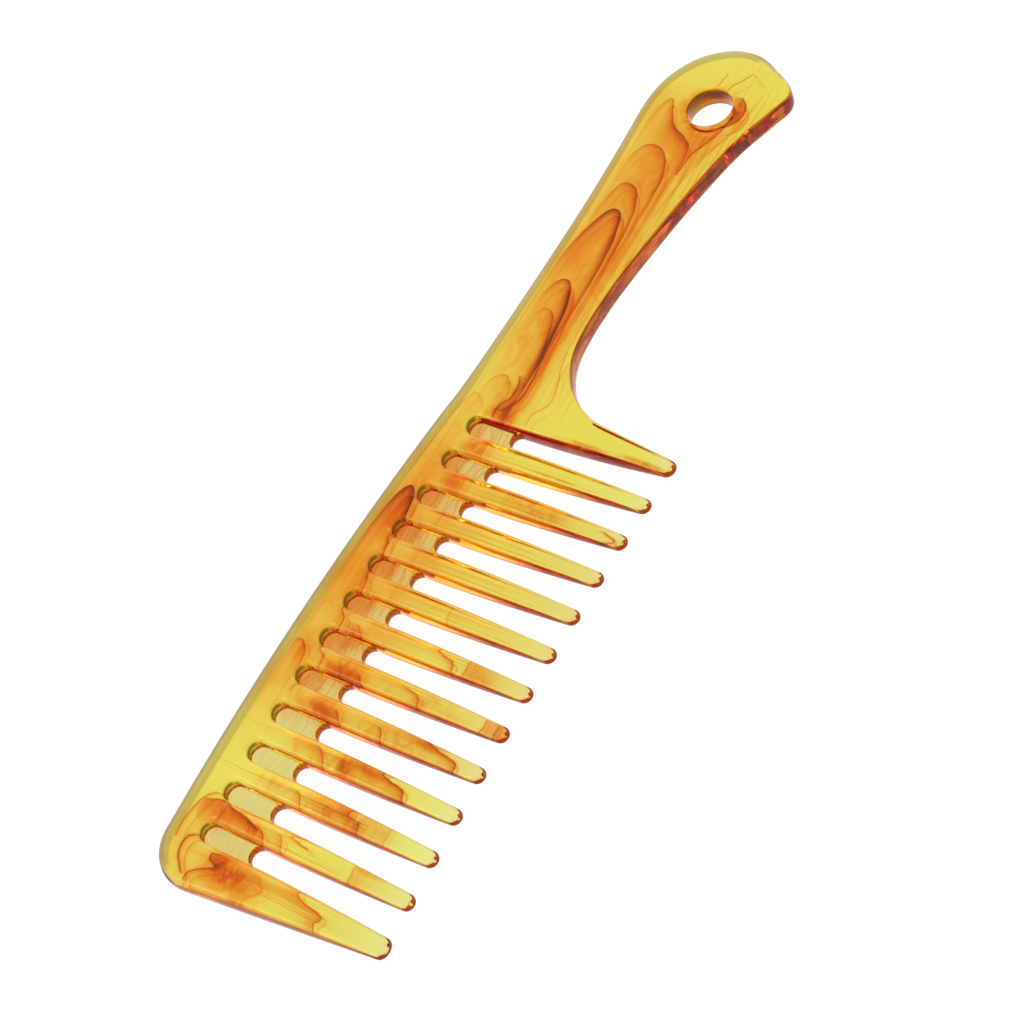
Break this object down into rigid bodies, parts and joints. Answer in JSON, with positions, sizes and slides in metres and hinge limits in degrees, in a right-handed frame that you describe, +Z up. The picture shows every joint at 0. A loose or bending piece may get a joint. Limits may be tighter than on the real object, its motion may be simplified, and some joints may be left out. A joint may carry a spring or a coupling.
{
  "type": "hair comb",
  "caption": "Wide-tooth detangling comb with a curved back, tapered round-tipped teeth, thin webs at the slot roots and a flat handle with a hanging hole.",
  "frame": {"origin": "middle of the comb's bounding box, on the surface that it lies on", "axes": "+X runs along the comb to the end of the handle, the teeth point to -Y, and +Z is up out of the front face"},
  "size_m": [0.2192, 0.0578, 0.0048],
  "materials": {
    "marbled_amber": "glossy translucent honey-amber plastic with flow-marbled red-brown swirls"
  },
  "bodies": {
    "root": {"neck": "marbled_amber", "grip": "marbled_amber", "handle_end": "marbled_amber", "spine": "marbled_amber", "tooth_01": "marbled_amber", "tooth_02": "marbled_amber", "tooth_03": "marbled_amber", "tooth_04": "marbled_amber", "tooth_05": "marbled_amber", "tooth_06": "marbled_amber", "tooth_07": "marbled_amber", "tooth_08": "marbled_amber", "tooth_09": "marbled_amber", "tooth_10": "marbled_amber", "tooth_11": "marbled_amber", "tooth_12": "marbled_amber", "tooth_13": "marbled_amber", "web_01": "marbled_amber", "web_02": "marbled_amber", "web_03": "marbled_amber", "web_04": "marbled_amber", "web_05": "marbled_amber", "web_06": "marbled_amber", "web_07": "marbled_amber", "web_08": "marbled_amber", "web_09": "marbled_amber", "web_10": "marbled_amber", "web_11": "marbled_amber", "web_12": "marbled_amber"}
  },
  "joints": []
}
